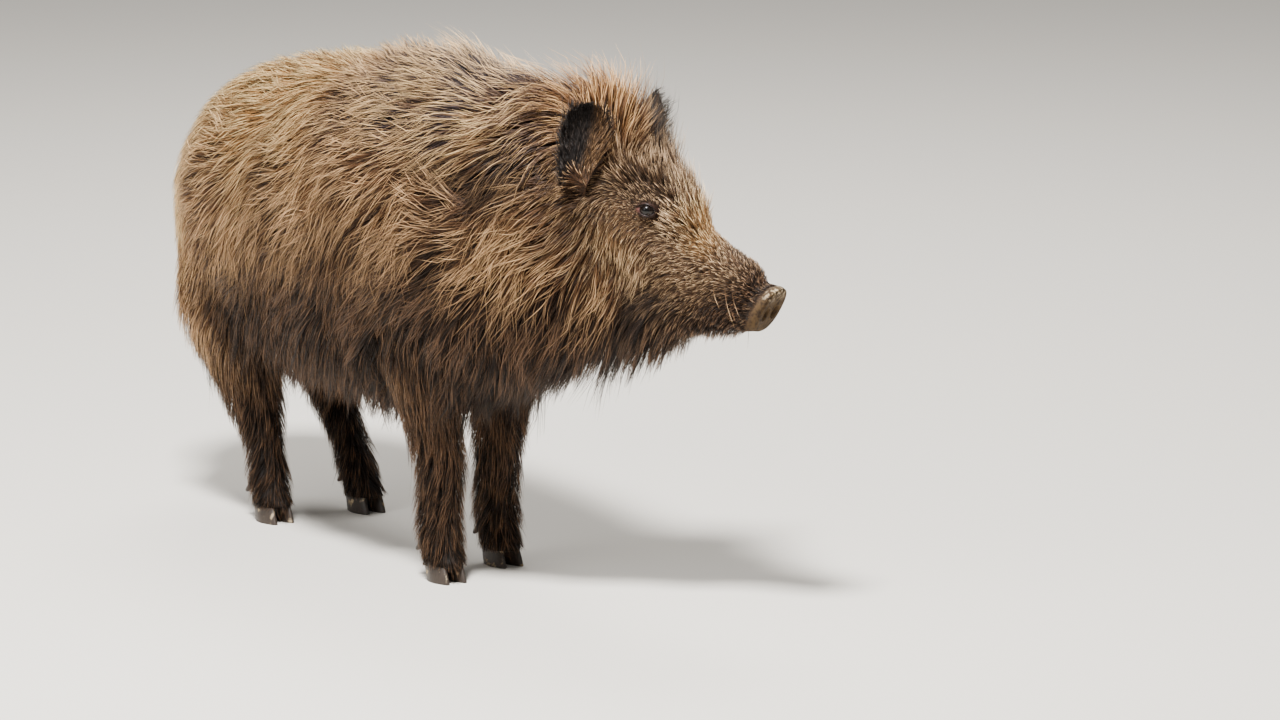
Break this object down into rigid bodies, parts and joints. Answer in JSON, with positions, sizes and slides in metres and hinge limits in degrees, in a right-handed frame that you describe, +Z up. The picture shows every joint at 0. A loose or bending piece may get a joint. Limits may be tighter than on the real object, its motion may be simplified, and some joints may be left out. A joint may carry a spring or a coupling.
{
  "type": "wild boar",
  "caption": "Still, life-size young adult wild boar in a shaggy winter coat, standing on four feet with its head turned to its left.",
  "frame": {"origin": "middle of the animal's box, on the floor", "axes": "+X along the trunk towards the head end, +Y to the animal's left, +Z up"},
  "size_m": [1.248, 0.4036, 0.7681],
  "materials": {
    "coat": "long coarse brown hair with tan tips, matt",
    "face_coat": "short grey-brown hair, matt",
    "dark_coat": "dark brown hair, damp",
    "ear_hair": "blackish hair, matt",
    "nose_skin": "wet bare skin, half gloss",
    "horn": "dark horn, satin",
    "eye": "wet dark brown eye, high gloss"
  },
  "bodies": {
    "root": {"trunk": "coat", "neck": "coat", "tail": "dark_coat", "jaw": "dark_coat", "nose": "nose_skin", "head": "face_coat", "eye_right": "eye", "ear_right": "ear_hair", "eye_left": "eye", "ear_left": "ear_hair", "front_right_upper_leg": "coat", "front_right_lower_leg": "dark_coat", "front_right_inner_hoof": "horn", "front_right_inner_dewclaw": "horn", "front_right_outer_hoof": "horn", "front_right_outer_dewclaw": "horn", "front_left_upper_leg": "coat", "front_left_lower_leg": "dark_coat", "front_left_outer_hoof": "horn", "front_left_outer_dewclaw": "horn", "front_left_inner_hoof": "horn", "front_left_inner_dewclaw": "horn", "hind_right_upper_leg": "coat", "hind_right_lower_leg": "dark_coat", "hind_right_inner_hoof": "horn", "hind_right_inner_dewclaw": "horn", "hind_right_outer_hoof": "horn", "hind_right_outer_dewclaw": "horn", "hind_left_upper_leg": "coat", "hind_left_lower_leg": "dark_coat", "hind_left_outer_hoof": "horn", "hind_left_outer_dewclaw": "horn", "hind_left_inner_hoof": "horn", "hind_left_inner_dewclaw": "horn"}
  },
  "joints": []
}
